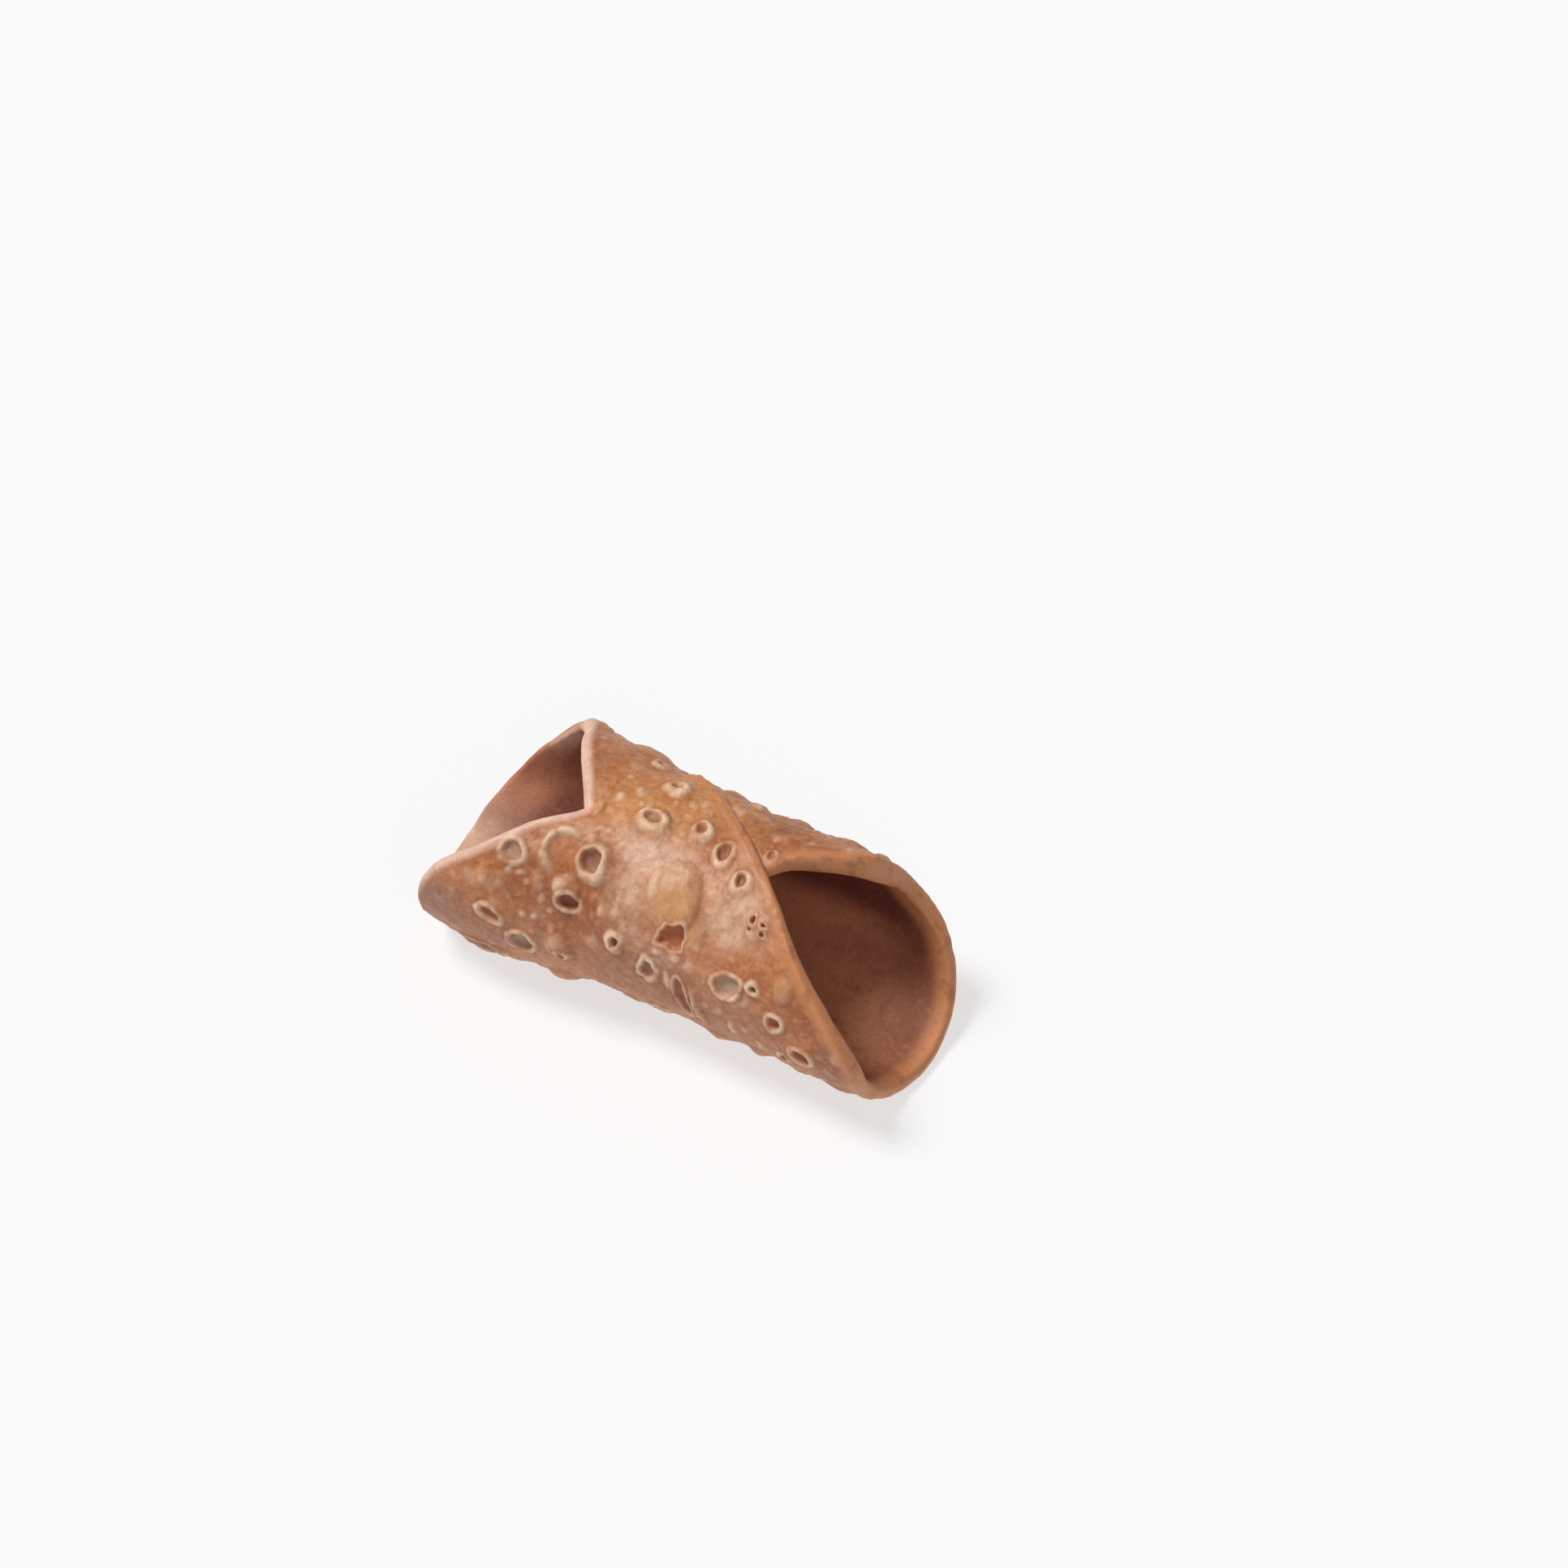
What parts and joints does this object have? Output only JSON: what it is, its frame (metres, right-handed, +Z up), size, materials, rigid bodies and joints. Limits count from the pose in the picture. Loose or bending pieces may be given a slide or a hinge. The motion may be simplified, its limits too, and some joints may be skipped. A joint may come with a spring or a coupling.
{
  "type": "cannoli shell",
  "caption": "Empty fried cannoli shell: an open tube of blistered dough, lapped along its top, with slanting rims that dip to a notch.",
  "frame": {"origin": "under the middle of the shell, on the surface it rests on", "axes": "+X along the tube towards the end that is not flared, +Y across it to the side where the outer flap ends, +Z up"},
  "size_m": [0.102, 0.0468, 0.0421],
  "materials": {
    "crust": "satin"
  },
  "bodies": {
    "root": {"shell": "crust"}
  },
  "joints": []
}
